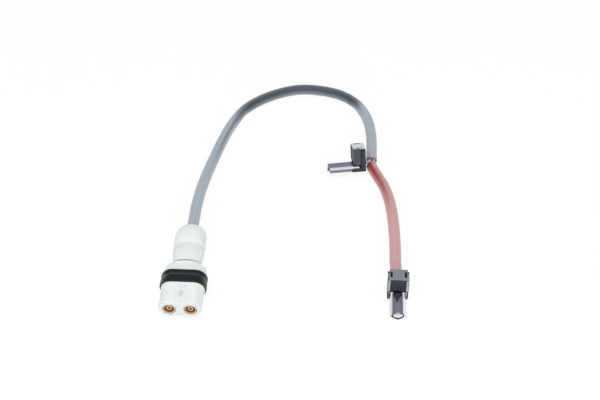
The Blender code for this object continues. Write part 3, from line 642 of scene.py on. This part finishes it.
def add_filling(name, frames, end, colour):
    """Fill a sleeve's core just inside its end, round the leads."""
    shape = bmesh.new()
    radius = SLEEVE_OD / 2 - SLEEVE_WALL - FILLING_PLAY
    ring = bmesh.ops.create_circle(
        shape, cap_ends=True, segments=SLEEVE_SIDES, radius=radius
    )["verts"]
    grown = bmesh.ops.extrude_face_region(shape, geom=shape.faces[:])["geom"]
    moved = [item for item in grown if isinstance(item, bmesh.types.BMVert)]
    bmesh.ops.translate(shape, vec=(0, 0, FILLING_LENGTH), verts=moved)
    shift = FILLING_DEPTH if end == 0 else -FILLING_DEPTH - FILLING_LENGTH
    place = frames[end] @ Matrix.Translation((0, 0, shift))
    bmesh.ops.transform(shape, matrix=place, verts=ring + moved)
    bmesh.ops.recalc_face_normals(shape, faces=shape.faces)
    add_piece(name, shape, talc_dusted_filling(name, colour))


def add_grey_sleeve():
    """Make the grey sleeve, buckled and with painted shade round its arch."""
    path = smooth_route(on_table(GREY_ROUTE), SLEEVE_SPACING)
    shape, rings, frames = extruded_tube(path, SLEEVE_OD, SLEEVE_SIDES)
    buckles = [(distance_along(path, place), reach, depth) for place, reach, depth in BUCKLES]
    for ring, place, along in zip(rings, frames, walked(frames)):
        back = place.inverted()
        for middle, reach, depth in buckles:
            for vert in ring:
                flat = back @ vert.co
                inner = max(0.0, math.sin(math.atan2(flat.x, flat.y)))
                dent = depth * bell(along - middle, reach) * inner**2
                vert.co = place @ Vector((flat.x - dent, flat.y, flat.z))
    first = buckles[0][0]
    last = buckles[-1][0]

    def painted_shade(along, angle):
        """Paint shade on the inner side of each leg and the outer side of the arch between them.
        """
        arch = ramp(along - first, *ARCH_RISE) * (1 - ramp(along - last, *ARCH_FALL))
        run = ramp(along - first, *RUN_RISE) * (1 - ramp(along - last, *RUN_FALL))
        share = ARCH_SHARE[0] + ARCH_SHARE[1] * run
        return arch * share * bell(angle - ARCH_ANGLE, ARCH_REACH[0] + ARCH_REACH[1] * run)

    finish_tube(shape, rings, frames, painted_shade)
    add_filling("grey_sleeve_filling", frames, -1, "#B39B9C")
    piece = add_piece("grey_sleeving", shape, grey_pvc_sleeving())
    sleeve_wall(piece)
    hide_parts("grey_sleeve")
    route_length(path) * MM


def add_red_sleeve():
    """Make the red sleeve, with painted shade where it starts."""
    path = smooth_route(on_table(RED_ROUTE), SLEEVE_SPACING)
    shape, rings, frames = extruded_tube(path, SLEEVE_OD, SLEEVE_SIDES)

    def painted_shade(along, angle):
        """Paint shade, a deeper red, on the start of the sleeve, most along its inner side."""
        # Painted shade: strongest at the start and on the inner side
        return (1 - ramp(along, *RED_FADE)) * bell(angle - RED_ANGLE, RED_REACH)

    finish_tube(shape, rings, frames, painted_shade)
    add_filling("red_sleeve_filling", frames, 0, "#8A4040")
    piece = add_piece("red_sleeving", shape, red_silicone_sleeving())
    sleeve_wall(piece)
    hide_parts("red_sleeve")
    route_length(path) * MM


def placed(place):
    """Give the matrix that carries a group's own axes to its place."""
    at, turn = place
    x, _, z = turn
    return Matrix.Translation(at) @ Matrix.Rotation(z, 4, "Z") @ Matrix.Rotation(x, 4, "X")


def out_of_sleeve(route, place):
    """Give points from inside a sleeve straight out of its end."""
    end, inner = Vector(route[0]), Vector(route[1])
    out = (end - inner).normalized()
    side = out.cross(Vector((0.0, 0.0, 1.0)))
    across, up = place
    on_face = end + side * across + Vector((0.0, 0.0, up))
    inside = on_face - out * LEAD_INSIDE
    return [inside, on_face - out * LEAD_INSIDE / 2, on_face + out * LEAD_STRAIGHT]


def add_leads():
    """Make the three leads between the sleeves and head 2."""
    head = placed(HEAD_2_PLACE)
    holes = []
    for side in (-1, 1):
        y = side * GROMMET_HOLES / 2
        depths = (HEAD_REAR + ENTRY_DEPTH - SEAT, HEAD_REAR - LEAD_OUT)
        holes.append([head @ Vector((x, y, GROMMET_HOLE_HEIGHT)) - TO_ORIGIN for x in depths])
    (far_inside, far), (near_inside, near) = holes
    grey_end = GREY_ROUTE[::-1]
    routes = {
        "lead_plug_to_sensor_2": (
            *out_of_sleeve(grey_end, LEAD_1_ON_GREY),
            *LEAD_1_BEND,
            far,
            far_inside,
        ),
        "lead_sensor_2_to_sensor_1": (
            near_inside,
            near,
            *LEAD_2_BEND,
            *out_of_sleeve(RED_ROUTE, LEAD_2_ON_RED)[::-1],
        ),
        "lead_plug_to_sensor_1": (
            *out_of_sleeve(grey_end, LEAD_3_ON_GREY),
            *LEAD_3_BEND,
            *out_of_sleeve(RED_ROUTE, LEAD_3_ON_RED)[::-1],
        ),
    }
    insulation = lead_pvc()
    for name, route in routes.items():
        path = smooth_route(on_table(route), LEAD_SPACING)
        shape, rings, frames = extruded_tube(path, LEAD_OD, LEAD_SIDES)
        finish_tube(shape, rings, frames, lambda along, angle: 0.0)
        bmesh.ops.contextual_create(shape, geom=rings[0])
        bmesh.ops.contextual_create(shape, geom=rings[-1])
        bmesh.ops.recalc_face_normals(shape, faces=shape.faces)
        piece = add_piece(f"{name}_wire", shape, insulation)
        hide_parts(name)


def dressed(node, material, edge=0.0):
    """Copy a CAD node, merge it and round its edges by this many millimetres."""
    shape = bmesh.new()
    shape.from_mesh(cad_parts[node].data)
    bmesh.ops.remove_doubles(shape, verts=shape.verts, dist=MERGE)
    bmesh.ops.scale(shape, vec=(1 / MM, 1 / MM, 1 / MM), verts=shape.verts)
    bmesh.ops.dissolve_limit(
        shape, angle_limit=FLAT_ANGLE, verts=shape.verts, edges=shape.edges
    )
    piece = add_piece(f"{node}_shell", shape, material, COPY_SHARP)
    if edge:
        bevel = piece.modifiers.new("edges", "BEVEL")
        bevel.width = edge * MM
        bevel.segments = EDGE_STEPS
        bevel.limit_method = "ANGLE"
        bevel.angle_limit = COPY_SHARP
        bevel.harden_normals = True
        bevel.use_clamp_overlap = True
    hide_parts(node)
    return piece


def dress_plug():
    """Dress the plug's nodes."""
    white = moulded_white_pbt(PLUG_PLACE)
    rubber = black_seal_rubber(PLUG_PLACE)
    brass = turned_brass(PLUG_PLACE)
    seal_rubber = red_wire_seal_rubber(PLUG_PLACE)
    insulation = extruded_wire_insulation(PLUG_PLACE)
    dressed("plug_housing", white, edge=0.12)
    dressed("plug_rear_cap", white, edge=0.12)
    dressed("plug_seal", rubber, edge=0.08)
    for side in ("left", "right"):
        dressed(f"contact_socket_{side}", brass, edge=0.06)
        dressed(f"contact_core_{side}", brass, edge=0.08)
        dressed(f"wire_seal_{side}", seal_rubber, edge=0.04)
        dressed(f"plug_wire_{side}", insulation)


def fit_rails(body, place):
    """Bring the foot's two rails down and their prongs in, so that the tongue's root shows."""
    frame_of_head = placed(place)
    back = frame_of_head.inverted()
    for vert in body.data.vertices:
        spot = back @ (vert.co / MM)
        side = abs(spot.y)
        if side < RAIL_INNER[0] - FACE_NEAR or spot.z > RAIL_TOP[0] + FACE_NEAR:
            continue
        if spot.z > RAIL_TOP[0] - FACE_NEAR:
            spot.z = RAIL_TOP[1]
        if spot.x > FACE_NEAR and side > PRONG_OUTER[0]:
            spot.y = math.copysign(PRONG_OUTER[1], spot.y)
        if spot.x > -FACE_NEAR and side < RAIL_INNER[0] + FACE_NEAR:
            spot.y = math.copysign(RAIL_INNER[1], spot.y)
        vert.co = frame_of_head @ spot * MM


def add_flanges(head, place, steel):
    """Turn the cheeks' front edges in over the block, as two narrow rounded strips."""
    shape = bmesh.new()
    (rear, front), (inner, outer), (foot, top) = FLANGE
    for side in (-1, 1):
        outline = ((inner, foot), (outer, foot), (outer, top), (inner, top))
        corners = [shape.verts.new((rear, side * y, z)) for y, z in outline]
        grown = bmesh.ops.extrude_face_region(shape, geom=[shape.faces.new(corners)])["geom"]
        moved = [item for item in grown if isinstance(item, bmesh.types.BMVert)]
        bmesh.ops.translate(shape, vec=(front - rear, 0, 0), verts=moved)
    bmesh.ops.bevel(
        shape,
        geom=shape.edges[:],
        offset=FLANGE_EDGE,
        affect="EDGES",
        segments=EDGE_STEPS,
        profile=0.5,
        material=-1,
    )
    bmesh.ops.recalc_face_normals(shape, faces=shape.faces)
    bmesh.ops.transform(shape, matrix=placed(place), verts=shape.verts)
    add_piece(f"{head}_clip_flanges", shape, steel)


def dress_head(head, place):
    """Dress a head's nodes, with its rails lowered and its clip's flanges added."""
    nylon = moulded_black_nylon(f"moulded_black_nylon_{head}", place)
    steel = rolled_spring_steel(f"rolled_spring_steel_{head}", place)
    copper = drawn_copper(f"drawn_copper_{head}", place)
    body = dressed(f"{head}_body", nylon, edge=0.05)
    fit_rails(body, place)
    dressed(f"{head}_clip", steel, edge=0.06)
    add_flanges(head, place, steel)
    dressed(f"{head}_loop", copper)


def add_camera():
    """Look down on the part from the photograph's side."""
    data = bpy.data.cameras.new("camera")
    camera = bpy.data.objects.new("camera", data)
    bpy.context.scene.collection.objects.link(camera)
    back = CAMERA_AT - CAMERA_AIM
    camera.location = CAMERA_AT * MM
    camera.rotation_euler = back.to_track_quat("Z", "Y").to_euler()
    data.lens = CAMERA_LENS
    data.sensor_width = CAMERA_SENSOR
    data.clip_start = CAMERA_NEAR
    bpy.context.scene.camera = camera


def add_softbox(name, at, size, power):
    """Add a square lamp that faces the part; gloss shows the world's studio in its place."""
    data = bpy.data.lights.new(name, "AREA")
    data.shape = "SQUARE"
    data.size = size
    data.energy = power
    lamp = bpy.data.objects.new(name, data)
    bpy.context.scene.collection.objects.link(lamp)
    lamp.location = at
    lamp.rotation_euler = Vector(at).to_track_quat("Z", "Y").to_euler()
    lamp.visible_glossy = False


def seen_rays(tree):
    """Give 1 for rays that show the background: from the camera, in gloss and through glass."""
    path = add_node(tree, "ShaderNodeLightPath")
    total = path.outputs["Is Camera Ray"]
    for name in ("Is Glossy Ray", "Is Transmission Ray"):
        rays = {0: total, 1: path.outputs[name]}
        total = add_node(tree, "ShaderNodeMath", rays, operation="MAXIMUM").outputs[0]
    return total


def mirrored_room(tree):
    """Give the studio that gloss shows: white low down, dim walls, a softbox and a screen."""
    way = add_node(tree, "ShaderNodeTexCoord").outputs["Generated"]
    axes = add_node(tree, "ShaderNodeSeparateXYZ", {"Vector": way})
    depth, height = axes.outputs["Y"], axes.outputs["Z"]
    room = add_node(tree, "ShaderNodeValToRGB", {"Fac": height})
    bands = room.color_ramp.elements
    bands[0].position, bands[0].color = ROOM_BANDS[0][0], linear(ROOM_BANDS[0][1])
    bands[1].position, bands[1].color = ROOM_BANDS[-1][0], linear(ROOM_BANDS[-1][1])
    for position, colour in ROOM_BANDS[1:-1]:
        bands.new(position).color = linear(colour)
    towards = {0: way, 1: MIRRORED_SOFTBOX}
    closeness = add_node(tree, "ShaderNodeVectorMath", towards, operation="DOT_PRODUCT")
    softbox = masked(tree, (closeness.outputs["Value"], SOFTBOX_EDGE))
    screen = masked(tree, (depth, SCREEN_BACK), (height, SCREEN_TOP))
    return layered(tree, room.outputs["Color"], (softbox, SOFTBOX_TONE), (screen, WHITE))


def add_world():
    """Light the part evenly, with white for the camera and the studio in gloss."""
    world = bpy.data.worlds.new("studio")
    bpy.context.scene.world = world
    world.use_nodes = True
    tree = world.node_tree
    tree.nodes.clear()
    path = add_node(tree, "ShaderNodeLightPath")
    fill = add_node(tree, "ShaderNodeBackground", {"Color": linear(WHITE), "Strength": ROOM_LIGHT})
    studio = add_node(tree, "ShaderNodeBackground", {"Color": mirrored_room(tree)})
    white = add_node(tree, "ShaderNodeBackground", {"Color": linear(WHITE)})
    lit = {0: path.outputs["Is Glossy Ray"], 1: fill.outputs[0], 2: studio.outputs[0]}
    lit_room = add_node(tree, "ShaderNodeMixShader", lit)
    rays = {0: path.outputs["Is Camera Ray"], 1: path.outputs["Is Transmission Ray"]}
    clear = add_node(tree, "ShaderNodeMath", rays, operation="MAXIMUM")
    seen = {0: clear.outputs[0], 1: lit_room.outputs[0], 2: white.outputs[0]}
    surface = add_node(tree, "ShaderNodeMixShader", seen)
    add_node(tree, "ShaderNodeOutputWorld", {"Surface": surface.outputs[0]})


def add_floor():
    """Lay a white sweep that keeps a faint shadow of the part."""
    shape = bmesh.new()
    bmesh.ops.create_grid(shape, x_segments=1, y_segments=1, size=FLOOR_HALF)
    mesh = bpy.data.meshes.new("floor")
    shape.to_mesh(mesh)
    shape.free()
    floor = bpy.data.objects.new("floor", mesh)
    floor.location = (0, 0, -FLOOR_DROP)
    bpy.context.scene.collection.objects.link(floor)
    material = bpy.data.materials.new("white_sweep")
    material.use_nodes = True
    tree = material.node_tree
    tree.nodes.clear()
    paint = add_node(tree, "ShaderNodeBsdfDiffuse", {"Color": linear(FLOOR_PAINT)})
    glow = add_node(tree, "ShaderNodeEmission", {"Color": linear(WHITE)})
    rays = {0: seen_rays(tree), 1: FLOOR_GLOW}
    share = add_node(tree, "ShaderNodeMath", rays, operation="MULTIPLY")
    sweep = {0: share.outputs[0], 1: paint.outputs[0], 2: glow.outputs[0]}
    surface = add_node(tree, "ShaderNodeMixShader", sweep)
    add_node(tree, "ShaderNodeOutputMaterial", {"Surface": surface.outputs[0]})
    mesh.materials.append(material)


def add_light():
    """Add the lamps, the world and the floor."""
    for name, at, size, power in SOFTBOXES:
        add_softbox(name, at, size, power)
    add_world()
    add_floor()


add_camera()
add_grey_sleeve()
add_red_sleeve()
add_leads()
dress_plug()
dress_head("sensor_1", HEAD_1_PLACE)
dress_head("sensor_2", HEAD_2_PLACE)
dressed("sensor_2_grommet", black_seal_rubber(HEAD_2_PLACE), edge=0.06)
add_light()
bpy.context.scene.view_settings.view_transform = "Standard"
